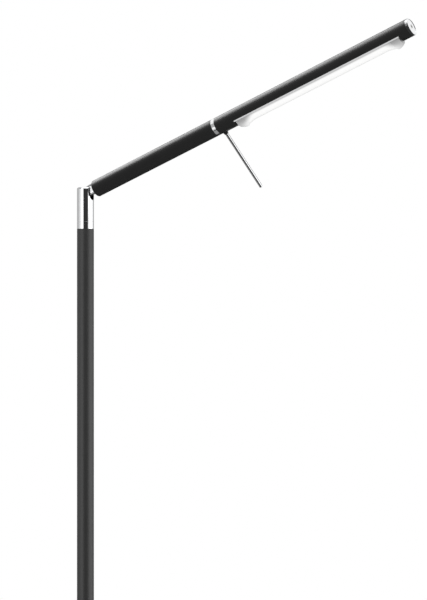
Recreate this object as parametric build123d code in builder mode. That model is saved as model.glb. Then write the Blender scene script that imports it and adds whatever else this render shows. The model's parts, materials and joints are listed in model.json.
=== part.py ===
"""Floor-standing LED reading lamp: round steel foot, tube pole, chrome swivel and tilt hinge,
and a tubular arm whose outer half rolls about its own axis and carries the light.

Millimetres, +Z up. The origin is the centre of the foot's underside, under the pole, and the
arm points towards +X at rest. Four bodies: the stand, the fork that swivels on the pole, the arm
that tilts on the fork's cross screw, and the head that rolls on the end of the arm.
"""

from build123d import *
from math import cos, radians, sin
import os

# ---------------------------------------------------------------- driving dimensions
TUBE_R = 12.5  # pole, arm and head are one size of tube
WALL = 1.5
BORE_R = TUBE_R - WALL
PLUG_R = BORE_R - 0.05  # turned pieces pressed into a tube
TURN_GAP = 0.2  # between two faces that turn on each other
RUNNING_GAP = 0.05  # between a screw or spigot and the bore it turns in
FIT_GAP = 0.1  # round a part that only has to slide into place
EDGE = 0.8  # rounded end of a tube, rod or plug
CUT = 1.0  # how far a cutting shape runs past the piece it cuts

# foot
PAD_R = 112.0
PAD_T = 2.0
PLATE_R = 120.0
PLATE_T = 10.0
PLATE_EDGE = 1.5
PLATE_CHAMFER = 0.5
PLATE_TOP = PAD_T + PLATE_T
FOOT_FLANGE_R = 22.0
FOOT_FLANGE_T = 6.0
FOOT_SPIGOT = 30.0
FOOT_BORE_R = 5.0
FOOT_SCREW_PCD = 32.0
FOOT_SCREW_R = 2.5
FOOT_SCREW_LEN = 10.5
FOOT_HEAD_R = 4.4
FOOT_HEAD_H = 3.4
FOOT_HEAD_SINK = 0.6  # below the plate's underside
FOOT_SOCKET_R = 1.7
FOOT_SOCKET_DEPTH = 2.0
COLLAR_R = 25.0
COLLAR_H = 9.0
COLLAR_EDGE = 2.0
LEAD_R = 2.0  # internal two-core lead
LEAD_BEND = 12.0
LEAD_HOLE_R = 7.0
LEAD_CHANNEL = 7.0  # depth of the channel under the plate
GLAND_Z = PAD_T + PLATE_T / 2
GLAND_R = 4.0
GLAND_BORE_R = 2.8
GLAND_LEN = 14.0
GLAND_FLANGE_R = 4.7
GLAND_FLANGE_T = 1.5
LEAD_Z = GLAND_Z - 1.5  # the lead lies low in its channel

# pole, ring and fork, up to the tilt screw
POLE_TOP = 1120.0
POLE_SEAM = 540.0
JOINER_HALF = 30.0
JOINER_BORE_R = 6.0
TOP_PLUG = 30.0
RING_H = 10.3
FORK_BASE = POLE_TOP + RING_H + TURN_GAP
PIN_Z = 1171.4
FORK_TOP = PIN_Z + 9.9
FORK_EDGE = 2.5
SWIVEL_BOLT_R = 5.0
SWIVEL_BOLT_BORE_R = 3.0
SWIVEL_BOLT_LOW = POLE_TOP - 44.0
SWIVEL_THREAD = 15.0  # of the bolt, in the fork
SWIVEL_WASHER_R = 9.0
SWIVEL_WASHER_T = 1.3
SWIVEL_NUT_HALF = 8.0  # half its width across flats
SWIVEL_NUT_H = 8.0
SWIVEL_STOP_R = 8.6  # radius at which the swivel's stop pin runs
SWIVEL_STOP_PIN_R = 1.2
SWIVEL_STOP_DEPTH = 2.6  # of the pin in its track
SWIVEL_STOP_LEN = 8.6
SWIVEL_LAND = 22.0  # degrees of the ring left solid between the ends of the pin's track
TRACK_SIDE_GAP = 0.3
TRACK_FLOOR_GAP = 0.6

# tilt hinge
ARM_TILT = 21.8  # degrees above the horizontal at rest
SLOT_HALF = 5.2
SLOT_DEPTH = 8.9  # below the screw
SLOT_BACK = 10.7  # behind the screw
TONGUE_HALF = 4.4
TONGUE_R = 8.5  # of its eye, about the screw
TONGUE_RISE = 2.0  # how far the straight part of the tongue lies above the arm's axis
TONGUE_HALF_H = 8.3  # half the height of the straight part
TONGUE_STRAIGHT = 11.0  # from the screw to the straight part
TILT_SCREW_R = 2.5
TILT_SCREW_BLIND = 9.5  # from the pole's axis to the screw's hidden end
TILT_HEAD_AT = 8.6  # from the pole's axis to the seat of the screw's head
TILT_HEAD_R = 4.2
TILT_HEAD_H = 2.8
HEX_R = 1.7  # corner radius of the tilt screw's hexagon socket
HEX_DEPTH = 2.0
WASHER_R = 4.4
WASHER_GAP = 0.1
CHEEK_TOP = 10.0  # reach of the eased cheeks at their top, at the screw and below the slot
CHEEK_MIDDLE = 11.2
CHEEK_LOW = 12.6

# stations along the arm, from the tilt screw
ARM_START = 20.6
ARM_END = 238.1
PLUG_END = 52.0
DRIVER_START = 80.0
DRIVER_END = 136.0
DRIVER_X = -3.2
DRIVER_T = 1.6
DRIVER_HALF = 8.6
GRUB_R = 2.0
GRUB_SOCKET_R = 1.1
GRUB_SOCKET_DEPTH = 2.0
GRUB_OUT = 12.0  # from the arm's axis to a grub screw's outer end
ARM_GRUB_AT = 36.0
ARM_GRUB_LEN = 8.0
KNUCKLE_LEAD_R = 1.6
KNUCKLE_LEAD_GAP = 1.3  # metal left between the screw hole and the lead's
SLEEVE_OVER = 4.0  # the insulating sleeve is longer than the driver by this, at each end
SLEEVE_T = 1.0
LEAD_END_GAP = 2.0
RING_START = ARM_END + TURN_GAP
HEAD_START = 244.1
WINDOW_START = 272.7
WINDOW_END = 545.9
CAP_START = 561.0
CAP_END = 565.0

# head, in its own directions: x out of the light window, z along the arm
HEAD_ROLL = 31.4  # degrees that the window is turned away from straight down at rest
WINDOW_EDGE_X = 0.4  # the window takes away everything beyond this plane
SPIGOT_R = 7.0
SPIGOT_BORE_R = 3.5
SPIGOT_START = 198.0
SPIGOT_FLANGE = 18.0
SOCKET_START = 206.0
ROLL_STOP_R = 9.0
ROLL_STOP_PIN_R = 0.8
ROLL_STOP_DEPTH = 2.4
ROLL_STOP_SEAT = 3.0
ROLL_TRACK_SIDE_GAP = 0.15
ROLL_LAND = 26.0
HANDLE_AT = 247.8
HANDLE_R = 2.4
HANDLE_TIP = 108.8  # from the arm's axis
HANDLE_ROOT = 5.0  # the rod's inner end, from the arm's axis
BOSS_R = 3.6
BOSS_H = 3.2
BOSS_STEP = 0.6  # height at which the boss starts to taper
BOSS_SINK = 1.2
BOSS_LIP = 0.5
HEAD_GRUB_AT = 256.0
HEAD_GRUB_LEN = 7.5
CLIP_START = 203.0
CLIP_END = 204.4
CLIP_GROOVE = 0.8
CLIP_WIDTH = 3.0
SPIGOT_WASHER_R = 10.0

# light
FRAME_H = 2.0
FRAME_W = 1.6
FRAME_CORNER = 1.0
FRAME_END_GAP = 0.2
LENS_HALF = 10.9
LENS_CROWN = 15.5  # from the arm's axis
LENS_WALL = 1.4
LENS_FLARE = 17.4  # crown of the lens where it meets an end block
FLARE_LEN = 12.0
BLOCK_HALF = 10.7
BLOCK_TIP = 16.5  # crown of an end block at the frame
BLOCK_CROWN = 20.0  # at its highest line
BLOCK_CREST = 11.9  # from the window's end to that line
BLOCK_STOP = 14.6  # from the window's end to the block's inner face
BLOCK_STEP = 0.2  # how far the block stands above the lens where they meet
BOARD_T = 1.2
BOARD_HALF = 5.0
BOARD_X = -1.4
BOARD_INSET = 4.0  # from the window's end to the board's
BOARD_SCREW_R = 1.0
BOARD_SCREW_HEAD_R = 1.9
BOARD_SCREW_HEAD_H = 0.9
BOARD_THREAD = 3.0
BOARD_SCREW_GAPS = (1, 9, 17)  # the gaps between chips that hold a screw
SINK_GAP = 0.5
SINK_NOTCH_Y = 7.2
SINK_NOTCH_DEPTH = 5.0
SINK_NOTCH_W = 2.0
SINK_HOLE_X = -6.6
SINK_HOLE_R = 2.0
CHIP_T = 0.8
CHIP_LEN = 2.8
CHIP_W = 3.5
LED_COUNT = 20
LED_FIRST = WINDOW_START + 30.0
LED_LAST = WINDOW_END - 22.0

# end cap
PLUG_INSET = 1.6  # from the window to the end plug
CAP_EDGE = 0.6
CAP_DISH = 0.5
CAP_RIM = 2.0
CAP_SCREW_R = 1.5
CAP_SCREW_START = WINDOW_END + 4.0
CAP_SEAT_R = 2.9
CAP_SEAT_DEPTH = 2.2
CAP_HEAD_R = 2.8
CAP_HEAD_SINK = 0.7
CAP_SOCKET_DEPTH = 1.2

# ---------------------------------------------------------------- planes
pin = (0, 0, PIN_Z)
tilt = radians(ARM_TILT)
roll = radians(HEAD_ROLL)
along = (cos(tilt), 0, sin(tilt))
down = (sin(tilt), 0, -cos(tilt))
window_way = (cos(roll) * down[0], sin(roll), cos(roll) * down[2])
arm = Plane(origin=pin, x_dir=down, z_dir=along)
head = Plane(origin=pin, x_dir=window_way, z_dir=along)
ground = Plane.XY


def outward(plane, station):
    """The plane at a station of the arm whose normal is the arm's own x direction."""
    level = plane.offset(station)
    return Plane(origin=level.origin, x_dir=plane.z_dir, z_dir=level.x_dir)


def sideways(plane, station):
    """The plane at a station of the arm whose normal is the arm's own y direction."""
    level = plane.offset(station)
    return Plane(origin=level.origin, x_dir=plane.z_dir, z_dir=level.y_dir)


def bar(plane, start, end, radius, bore=0.0, mode=Mode.ADD):
    """Round bar or tube between two distances along a plane's normal."""
    with BuildSketch(plane.offset(start)) as section:
        Circle(radius)
        if bore:
            Circle(bore, mode=Mode.SUBTRACT)
    extrude(section.sketch, amount=end - start, mode=mode)


def stop_track(plane, start, depth, radius, half_width, land):
    """Cuts the arc that a stop pin runs in; the solid land is centred on the plane's -x side."""
    with BuildSketch(plane.offset(start)) as track:
        Circle(radius + half_width)
        Circle(radius - half_width, mode=Mode.SUBTRACT)
        with BuildLine():
            reach = radius + TUBE_R / 2
            rise = reach * sin(radians(land / 2))
            run = reach * cos(radians(land / 2))
            Polyline((0, 0), (-run, rise), (-run, -rise), close=True)
        make_face(mode=Mode.SUBTRACT)
    extrude(track.sketch, amount=-depth, mode=Mode.SUBTRACT)


def save(piece, name):
    """Labels a finished piece and writes it as parts/<name>.step."""
    piece.part.label = name
    export_step(piece.part, f"parts/{name}.step")


os.makedirs("parts", exist_ok=True)

# ================================================================ stand
with BuildPart() as base_pad:
    bar(ground, 0, PAD_T, PAD_R)
save(base_pad, "base_pad")

with BuildPart() as base_plate:
    bar(ground, PAD_T, PLATE_TOP, PLATE_R)
    fillet(base_plate.edges().group_by(Axis.Z)[-1], PLATE_EDGE)
    chamfer(base_plate.edges().group_by(Axis.Z)[0], PLATE_CHAMFER)
    # middle hole and the underside channel that bring the lead in from the rim
    bar(ground, PAD_T, PLATE_TOP, LEAD_HOLE_R, mode=Mode.SUBTRACT)
    with BuildSketch(ground.offset(PAD_T)):
        with Locations((-(PLATE_R - GLAND_LEN) / 2, 0)):
            Rectangle(PLATE_R - GLAND_LEN, 2 * GLAND_R)
    extrude(amount=LEAD_CHANNEL, mode=Mode.SUBTRACT)
    with BuildSketch(Plane.YZ.offset(-PLATE_R - CUT)):
        with Locations((0, GLAND_Z)):
            Circle(GLAND_R)
    extrude(amount=GLAND_LEN + 3 * CUT, mode=Mode.SUBTRACT)
    with BuildSketch(ground.offset(PAD_T)) as foot_holes:
        with PolarLocations(FOOT_SCREW_PCD / 2, 3):
            Circle(FOOT_SCREW_R)
    extrude(foot_holes.sketch, amount=PLATE_T, mode=Mode.SUBTRACT)
    with BuildSketch(ground.offset(PAD_T)) as foot_heads:
        with PolarLocations(FOOT_SCREW_PCD / 2, 3):
            Circle(FOOT_HEAD_R + 2 * FIT_GAP)
    extrude(foot_heads.sketch, amount=FOOT_HEAD_SINK + FOOT_HEAD_H, mode=Mode.SUBTRACT)
save(base_plate, "base_plate")

with BuildPart() as base_screws:
    upwards = (Align.CENTER, Align.CENTER, Align.MIN)
    with PolarLocations(FOOT_SCREW_PCD / 2, 3):
        with Locations((0, 0, PAD_T + FOOT_HEAD_SINK)):
            Cylinder(FOOT_HEAD_R, FOOT_HEAD_H, align=upwards)
        with Locations((0, 0, PAD_T + FOOT_HEAD_SINK + FOOT_HEAD_H)):
            Cylinder(FOOT_SCREW_R, FOOT_SCREW_LEN, align=upwards)
        with Locations((0, 0, PAD_T + FOOT_HEAD_SINK)):
            Cylinder(FOOT_SOCKET_R, FOOT_SOCKET_DEPTH, align=upwards, mode=Mode.SUBTRACT)
save(base_screws, "base_screws")

with BuildPart() as cord_gland:
    with BuildSketch(Plane.YZ.offset(-PLATE_R - GLAND_FLANGE_T)):
        with Locations((0, GLAND_Z)):
            Circle(GLAND_FLANGE_R)
    extrude(amount=GLAND_FLANGE_T)
    with BuildSketch(Plane.YZ.offset(-PLATE_R)):
        with Locations((0, GLAND_Z)):
            Circle(GLAND_R)
    extrude(amount=GLAND_LEN)
    with BuildSketch(Plane.YZ.offset(-PLATE_R - GLAND_FLANGE_T)):
        with Locations((0, GLAND_Z)):
            Circle(GLAND_BORE_R)
    extrude(amount=GLAND_LEN + GLAND_FLANGE_T, mode=Mode.SUBTRACT)
save(cord_gland, "cord_gland")

with BuildPart() as pole_foot:
    bar(ground, PLATE_TOP, PLATE_TOP + FOOT_FLANGE_T, FOOT_FLANGE_R)
    bar(ground, PLATE_TOP + FOOT_FLANGE_T, PLATE_TOP + FOOT_FLANGE_T + FOOT_SPIGOT, PLUG_R)
    bar(ground, PLATE_TOP, PLATE_TOP + FOOT_FLANGE_T + FOOT_SPIGOT, FOOT_BORE_R, mode=Mode.SUBTRACT)
    with BuildSketch(ground.offset(PLATE_TOP)) as threads:
        with PolarLocations(FOOT_SCREW_PCD / 2, 3):
            Circle(FOOT_SCREW_R)
    extrude(threads.sketch, amount=FOOT_FLANGE_T, mode=Mode.SUBTRACT)
save(pole_foot, "pole_foot")

with BuildPart() as pole_collar:
    bar(ground, PLATE_TOP, PLATE_TOP + COLLAR_H, COLLAR_R)
    fillet(pole_collar.edges().group_by(Axis.Z)[-1], COLLAR_EDGE)
    flange_top = PLATE_TOP + FOOT_FLANGE_T + 5 * FIT_GAP
    bar(ground, PLATE_TOP, flange_top, FOOT_FLANGE_R + 3 * FIT_GAP, mode=Mode.SUBTRACT)
    bar(ground, PLATE_TOP, PLATE_TOP + COLLAR_H, TUBE_R + FIT_GAP, mode=Mode.SUBTRACT)
save(pole_collar, "pole_collar")

with BuildPart() as pole_lower_tube:
    bar(ground, PLATE_TOP + FOOT_FLANGE_T, POLE_SEAM, TUBE_R, BORE_R)
save(pole_lower_tube, "pole_lower_tube")

with BuildPart() as pole_joiner:
    bar(ground, POLE_SEAM - JOINER_HALF, POLE_SEAM + JOINER_HALF, PLUG_R, JOINER_BORE_R)
save(pole_joiner, "pole_joiner")

with BuildPart() as pole_upper_tube:
    bar(ground, POLE_SEAM, POLE_TOP, TUBE_R, BORE_R)
save(pole_upper_tube, "pole_upper_tube")

with BuildPart() as pole_top_plug:
    bar(ground, POLE_TOP - TOP_PLUG, POLE_TOP, PLUG_R, SWIVEL_BOLT_R + RUNNING_GAP)
save(pole_top_plug, "pole_top_plug")

with BuildPart() as swivel_ring:
    bar(ground, POLE_TOP, POLE_TOP + RING_H, TUBE_R, SWIVEL_BOLT_R + RUNNING_GAP)
    stop_track(ground, POLE_TOP + RING_H, SWIVEL_STOP_DEPTH + TRACK_FLOOR_GAP, SWIVEL_STOP_R,
               SWIVEL_STOP_PIN_R + TRACK_SIDE_GAP, SWIVEL_LAND)
save(swivel_ring, "swivel_ring")

with BuildPart() as pole_lead:
    with BuildLine() as lead_path:
        channel = Line((-PLATE_R + GLAND_LEN + LEAD_END_GAP, 0, LEAD_Z), (-LEAD_BEND, 0, LEAD_Z))
        bend = TangentArc(channel @ 1, (0, 0, LEAD_Z + LEAD_BEND), tangent=channel % 1)
        Line(bend @ 1, (0, 0, SWIVEL_BOLT_LOW - LEAD_END_GAP))
    with BuildSketch(Plane(origin=lead_path.line @ 0, z_dir=lead_path.line % 0)):
        Circle(LEAD_R)
    sweep()
save(pole_lead, "pole_lead")

# ================================================================ fork
cross = Plane(origin=pin, x_dir=(1, 0, 0), z_dir=(0, 1, 0))  # along the tilt screw, towards its head

with BuildPart() as hinge_fork:
    bar(ground, FORK_BASE, FORK_TOP, TUBE_R)
    fillet(hinge_fork.edges().group_by(Axis.Z)[-1], FORK_EDGE)
    # slot for the tongue: open to the front and the top, with a full-round floor
    with BuildSketch(Plane.YZ.offset(-SLOT_BACK)):
        with Locations((0, PIN_Z - SLOT_DEPTH + SLOT_HALF)):
            Circle(SLOT_HALF)
            Rectangle(2 * SLOT_HALF, 3 * TUBE_R, align=(Align.CENTER, Align.MIN))
    extrude(amount=SLOT_BACK + TUBE_R + CUT, mode=Mode.SUBTRACT)
    # the cheeks' front corners are eased back so that the arm can drop in front of them
    with BuildSketch(Plane.XZ.offset(-TUBE_R - CUT)):
        cheek_top = FORK_TOP + FIT_GAP
        cheek_low = PIN_Z - SLOT_DEPTH
        with BuildLine():
            ease = ThreePointArc((CHEEK_TOP, cheek_top), (CHEEK_MIDDLE, PIN_Z), (CHEEK_LOW, cheek_low))
            Polyline(ease @ 1, (TUBE_R + CUT, cheek_low), (TUBE_R + CUT, cheek_top), ease @ 0)
        make_face()
    extrude(amount=2 * (TUBE_R + CUT), mode=Mode.SUBTRACT)
    # threaded bore for the swivel bolt, and the way through for the lead
    bar(ground, FORK_BASE, FORK_BASE + SWIVEL_THREAD, SWIVEL_BOLT_R, mode=Mode.SUBTRACT)
    bar(ground, FORK_BASE, PIN_Z, SWIVEL_BOLT_BORE_R, mode=Mode.SUBTRACT)
    with BuildSketch(ground.offset(FORK_BASE)):
        with Locations((SWIVEL_STOP_R, 0)):
            Circle(SWIVEL_STOP_PIN_R)
    extrude(amount=SWIVEL_STOP_LEN - SWIVEL_STOP_DEPTH, mode=Mode.SUBTRACT)
    # cross hole: blind thread in one cheek, head recess in the other
    bar(cross, -TILT_SCREW_BLIND - FIT_GAP, TUBE_R, TILT_SCREW_R, mode=Mode.SUBTRACT)
    bar(cross, TILT_HEAD_AT, TUBE_R + CUT, TILT_HEAD_R + 2 * FIT_GAP, mode=Mode.SUBTRACT)
save(hinge_fork, "hinge_fork")

with BuildPart() as tilt_screw:
    bar(cross, -TILT_SCREW_BLIND, TILT_HEAD_AT, TILT_SCREW_R)
    bar(cross, TILT_HEAD_AT, TILT_HEAD_AT + TILT_HEAD_H, TILT_HEAD_R)
    with BuildSketch(cross.offset(TILT_HEAD_AT + TILT_HEAD_H)):
        RegularPolygon(HEX_R, 6)
    extrude(amount=-HEX_DEPTH, mode=Mode.SUBTRACT)
save(tilt_screw, "tilt_screw")

with BuildPart() as swivel_bolt:
    bar(ground, SWIVEL_BOLT_LOW, FORK_BASE + SWIVEL_THREAD, SWIVEL_BOLT_R, SWIVEL_BOLT_BORE_R)
save(swivel_bolt, "swivel_bolt")

washer_top = POLE_TOP - TOP_PLUG - FIT_GAP
washer_low = washer_top - SWIVEL_WASHER_T

with BuildPart() as swivel_washer:
    bar(ground, washer_low, washer_top, SWIVEL_WASHER_R, SWIVEL_BOLT_R)
save(swivel_washer, "swivel_washer")

with BuildPart() as swivel_nut:
    with BuildSketch(ground.offset(washer_low)):
        RegularPolygon(SWIVEL_NUT_HALF, 6, major_radius=False)
        Circle(SWIVEL_BOLT_R, mode=Mode.SUBTRACT)
    extrude(amount=-SWIVEL_NUT_H)
save(swivel_nut, "swivel_nut")

with BuildPart() as swivel_stop_pin:
    with BuildSketch(ground.offset(POLE_TOP + RING_H - SWIVEL_STOP_DEPTH)):
        with Locations((SWIVEL_STOP_R, 0)):
            Circle(SWIVEL_STOP_PIN_R)
    extrude(amount=SWIVEL_STOP_LEN)
save(swivel_stop_pin, "swivel_stop_pin")

# ================================================================ arm
with BuildPart() as hinge_knuckle:
    # tongue: a bar with full-round long edges that rises from an eye of the same section
    flat = TONGUE_R - TONGUE_HALF
    with BuildSketch(arm):
        SlotOverall(2 * TONGUE_R, 2 * TONGUE_HALF)
    with BuildSketch(arm.offset(TONGUE_STRAIGHT)):
        with Locations((-TONGUE_RISE, 0)):
            SlotOverall(2 * TONGUE_HALF_H, 2 * TONGUE_HALF)
    loft()
    extrude(hinge_knuckle.faces().sort_by(Axis(pin, along))[-1], amount=ARM_START + CUT - TONGUE_STRAIGHT)
    with BuildSketch(Plane(origin=pin, x_dir=(-along[0], 0, -along[2]), z_dir=down)):
        with Locations((flat / 2, 0)):
            Rectangle(flat, 2 * TONGUE_HALF)
        with Locations((flat, 0)):
            Circle(TONGUE_HALF)
        with Locations((-TUBE_R, 0)):
            Rectangle(2 * TUBE_R, 4 * TUBE_R, mode=Mode.SUBTRACT)
    revolve(axis=Axis(pin, (0, 1, 0)), revolution_arc=360)
    # plug that the arm tube is pressed on
    bar(arm, ARM_START + EDGE, PLUG_END, PLUG_R)
    chamfer(hinge_knuckle.faces().sort_by(Axis(pin, along))[-1].edges(), EDGE)
    # way for the lead, past the screw hole
    with BuildSketch(arm.offset(-TONGUE_R - CUT)):
        with Locations((-TILT_SCREW_R - KNUCKLE_LEAD_GAP - KNUCKLE_LEAD_R, 0)):
            Circle(KNUCKLE_LEAD_R)
    extrude(amount=TONGUE_R + PLUG_END + 2 * CUT, mode=Mode.SUBTRACT)
    bar(cross, -TUBE_R, TUBE_R, TILT_SCREW_R + RUNNING_GAP, mode=Mode.SUBTRACT)
    # grub screw seat on the hidden side
    bar(sideways(arm, ARM_GRUB_AT), 0, TUBE_R, GRUB_R, mode=Mode.SUBTRACT)
save(hinge_knuckle, "hinge_knuckle")

with BuildPart() as friction_washers:
    thickness = SLOT_HALF - TONGUE_HALF - WASHER_GAP
    bar(cross, TONGUE_HALF, TONGUE_HALF + thickness, WASHER_R, TILT_SCREW_R + RUNNING_GAP)
    bar(cross, -TONGUE_HALF - thickness, -TONGUE_HALF, WASHER_R, TILT_SCREW_R + RUNNING_GAP)
save(friction_washers, "friction_washers")

with BuildPart() as arm_tube:
    bar(arm, ARM_START, ARM_END, TUBE_R)
    fillet(arm_tube.faces().sort_by(Axis(pin, along))[0].edges(), EDGE)
    bar(arm, ARM_START, ARM_END, BORE_R, mode=Mode.SUBTRACT)
    bar(sideways(arm, ARM_GRUB_AT), 0, TUBE_R + CUT, GRUB_R, mode=Mode.SUBTRACT)
save(arm_tube, "arm_tube")

with BuildPart() as knuckle_grub_screw:
    grub_seat = sideways(arm, ARM_GRUB_AT)
    bar(grub_seat, GRUB_OUT - ARM_GRUB_LEN, GRUB_OUT, GRUB_R)
    with BuildSketch(grub_seat.offset(GRUB_OUT)):
        RegularPolygon(GRUB_SOCKET_R, 6)
    extrude(amount=-GRUB_SOCKET_DEPTH, mode=Mode.SUBTRACT)
save(knuckle_grub_screw, "knuckle_grub_screw")

with BuildPart() as roll_socket:
    bar(arm, SOCKET_START, ARM_END, PLUG_R, SPIGOT_R + RUNNING_GAP)
    stop_track(arm, ARM_END, ROLL_STOP_DEPTH + TRACK_FLOOR_GAP, ROLL_STOP_R,
               ROLL_STOP_PIN_R + ROLL_TRACK_SIDE_GAP, ROLL_LAND)
save(roll_socket, "roll_socket")

with BuildPart() as driver_sleeve:
    sleeve_r = BORE_R - FIT_GAP
    bar(arm, DRIVER_START - SLEEVE_OVER, DRIVER_END + SLEEVE_OVER, sleeve_r, sleeve_r - SLEEVE_T)
save(driver_sleeve, "driver_sleeve")

with BuildPart() as driver_board:
    with BuildSketch(arm.offset(DRIVER_START)):
        with Locations((DRIVER_X - DRIVER_T / 2, 0)):
            Rectangle(DRIVER_T, 2 * DRIVER_HALF)
    extrude(amount=DRIVER_END - DRIVER_START)
save(driver_board, "driver_board")

CHOKE = (6, 9, 8, 6)  # from the board's end, length, width, height
FIRST_CAPACITOR = (20, 7, 10, 4)
SECOND_CAPACITOR = (31, 6, 6, 7)
CONTROLLER = (42, 9, 9, 3)

with BuildPart() as driver_parts:
    for place, length, width, height in (CHOKE, FIRST_CAPACITOR, SECOND_CAPACITOR, CONTROLLER):
        with BuildSketch(arm.offset(DRIVER_START + place)) as block:
            with Locations((DRIVER_X + height / 2, 0)):
                Rectangle(height, width)
        extrude(block.sketch, amount=length)
save(driver_parts, "driver_parts")

with BuildPart() as arm_lead:
    bar(arm, PLUG_END + LEAD_END_GAP, DRIVER_START - LEAD_END_GAP, LEAD_R)
    bar(arm, DRIVER_END + LEAD_END_GAP, SPIGOT_START - LEAD_END_GAP, LEAD_R)
save(arm_lead, "arm_lead")

# ================================================================ head
with BuildPart() as roll_ring:
    bar(head, RING_START, HEAD_START, TUBE_R, SPIGOT_R)
    with BuildSketch(head.offset(RING_START)):
        with Locations((ROLL_STOP_R, 0)):
            Circle(ROLL_STOP_PIN_R)
    extrude(amount=ROLL_STOP_SEAT, mode=Mode.SUBTRACT)
save(roll_ring, "roll_ring")

with BuildPart() as roll_stop_pin:
    with BuildSketch(head.offset(ARM_END - ROLL_STOP_DEPTH)):
        with Locations((ROLL_STOP_R, 0)):
            Circle(ROLL_STOP_PIN_R)
    extrude(amount=ROLL_STOP_DEPTH + TURN_GAP + ROLL_STOP_SEAT)
save(roll_stop_pin, "roll_stop_pin")

with BuildPart() as roll_spigot:
    bar(head, SPIGOT_START, HEAD_START, SPIGOT_R)
    bar(head, HEAD_START, HEAD_START + SPIGOT_FLANGE, PLUG_R)
    bar(head, SPIGOT_START, HEAD_START + SPIGOT_FLANGE, SPIGOT_BORE_R, mode=Mode.SUBTRACT)
    bar(head, CLIP_START, CLIP_END, SPIGOT_R, SPIGOT_R - CLIP_GROOVE, mode=Mode.SUBTRACT)
    bar(outward(head, HANDLE_AT), 0, TUBE_R, HANDLE_R, mode=Mode.SUBTRACT)
    bar(sideways(head, HEAD_GRUB_AT), 0, TUBE_R, GRUB_R, mode=Mode.SUBTRACT)
save(roll_spigot, "roll_spigot")

with BuildPart() as spigot_clip:
    bar(head, CLIP_START, CLIP_END, SPIGOT_R - CLIP_GROOVE + CLIP_WIDTH, SPIGOT_R - CLIP_GROOVE)
save(spigot_clip, "spigot_clip")

with BuildPart() as spigot_washer:
    bar(head, CLIP_END, SOCKET_START - WASHER_GAP, SPIGOT_WASHER_R, SPIGOT_R)
save(spigot_washer, "spigot_washer")

with BuildPart() as head_tube:
    bar(head, HEAD_START, CAP_START, TUBE_R, BORE_R)
    # light window: the lower half of the tube is open between its two ends
    with BuildSketch(head.offset(WINDOW_START)):
        with Locations((WINDOW_EDGE_X, 0)):
            Rectangle(TUBE_R + CUT, 2 * (TUBE_R + CUT), align=(Align.MIN, Align.CENTER))
    extrude(amount=WINDOW_END - WINDOW_START, mode=Mode.SUBTRACT)
    bar(outward(head, HANDLE_AT), 0, TUBE_R + CUT, HANDLE_R, mode=Mode.SUBTRACT)
    bar(sideways(head, HEAD_GRUB_AT), 0, TUBE_R + CUT, GRUB_R, mode=Mode.SUBTRACT)
save(head_tube, "head_tube")

with BuildPart() as head_grub_screw:
    grub_seat = sideways(head, HEAD_GRUB_AT)
    bar(grub_seat, GRUB_OUT - HEAD_GRUB_LEN, GRUB_OUT, GRUB_R)
    with BuildSketch(grub_seat.offset(GRUB_OUT)):
        RegularPolygon(GRUB_SOCKET_R, 6)
    extrude(amount=-GRUB_SOCKET_DEPTH, mode=Mode.SUBTRACT)
save(head_grub_screw, "head_grub_screw")

with BuildPart() as handle_rod:
    bar(outward(head, HANDLE_AT), HANDLE_ROOT, HANDLE_TIP, HANDLE_R)
    fillet(handle_rod.faces().sort_by(Axis(head.origin, window_way))[-1].edges(), EDGE)
save(handle_rod, "handle_rod")

with BuildPart() as handle_boss:
    boss_seat = outward(head, HANDLE_AT)
    bar(boss_seat, TUBE_R - BOSS_SINK, TUBE_R + BOSS_STEP, BOSS_R)
    with BuildSketch(boss_seat.offset(TUBE_R + BOSS_STEP)):
        Circle(BOSS_R)
    with BuildSketch(boss_seat.offset(TUBE_R + BOSS_H)):
        Circle(HANDLE_R + BOSS_LIP)
    loft()
    bar(head, HANDLE_AT - 2 * BOSS_R, HANDLE_AT + 2 * BOSS_R, TUBE_R, mode=Mode.SUBTRACT)
    bar(boss_seat, 0, TUBE_R + BOSS_H + CUT, HANDLE_R, mode=Mode.SUBTRACT)
save(handle_boss, "handle_boss")

# the board's screws sit midway between two chips
led_pitch = (LED_LAST - LED_FIRST) / (LED_COUNT - 1)
board_screw_stations = [LED_FIRST + (gap + 0.5) * led_pitch for gap in BOARD_SCREW_GAPS]

SINK_START = HEAD_START + SPIGOT_FLANGE + SINK_GAP
SINK_STOP = WINDOW_END + SINK_GAP

with BuildPart() as heat_sink:
    with BuildSketch(head.offset(SINK_START)):
        Circle(BORE_R - FIT_GAP)
        with Locations((BOARD_X, 0)):
            Rectangle(2 * TUBE_R, 3 * TUBE_R, align=(Align.MIN, Align.CENTER), mode=Mode.SUBTRACT)
        with Locations((BOARD_X, SINK_NOTCH_Y)):
            Rectangle(SINK_NOTCH_DEPTH, SINK_NOTCH_W, align=(Align.MAX, Align.CENTER), mode=Mode.SUBTRACT)
        with Locations((SINK_HOLE_X, 0)):
            Circle(SINK_HOLE_R, mode=Mode.SUBTRACT)
    extrude(amount=SINK_STOP - SINK_START)
    for station in board_screw_stations:
        with BuildSketch(outward(head, station).offset(BOARD_X)) as thread:
            Circle(BOARD_SCREW_R)
        extrude(thread.sketch, amount=-BOARD_THREAD, mode=Mode.SUBTRACT)
save(heat_sink, "heat_sink")

with BuildPart() as led_board:
    with BuildSketch(head.offset(WINDOW_START + BOARD_INSET)):
        with Locations((BOARD_X + BOARD_T / 2, 0)):
            Rectangle(BOARD_T, 2 * BOARD_HALF)
    extrude(amount=WINDOW_END - WINDOW_START - 2 * BOARD_INSET)
    for station in board_screw_stations:
        with BuildSketch(outward(head, station).offset(BOARD_X)) as hole:
            Circle(BOARD_SCREW_R)
        extrude(hole.sketch, amount=BOARD_T, mode=Mode.SUBTRACT)
save(led_board, "led_board")

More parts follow.
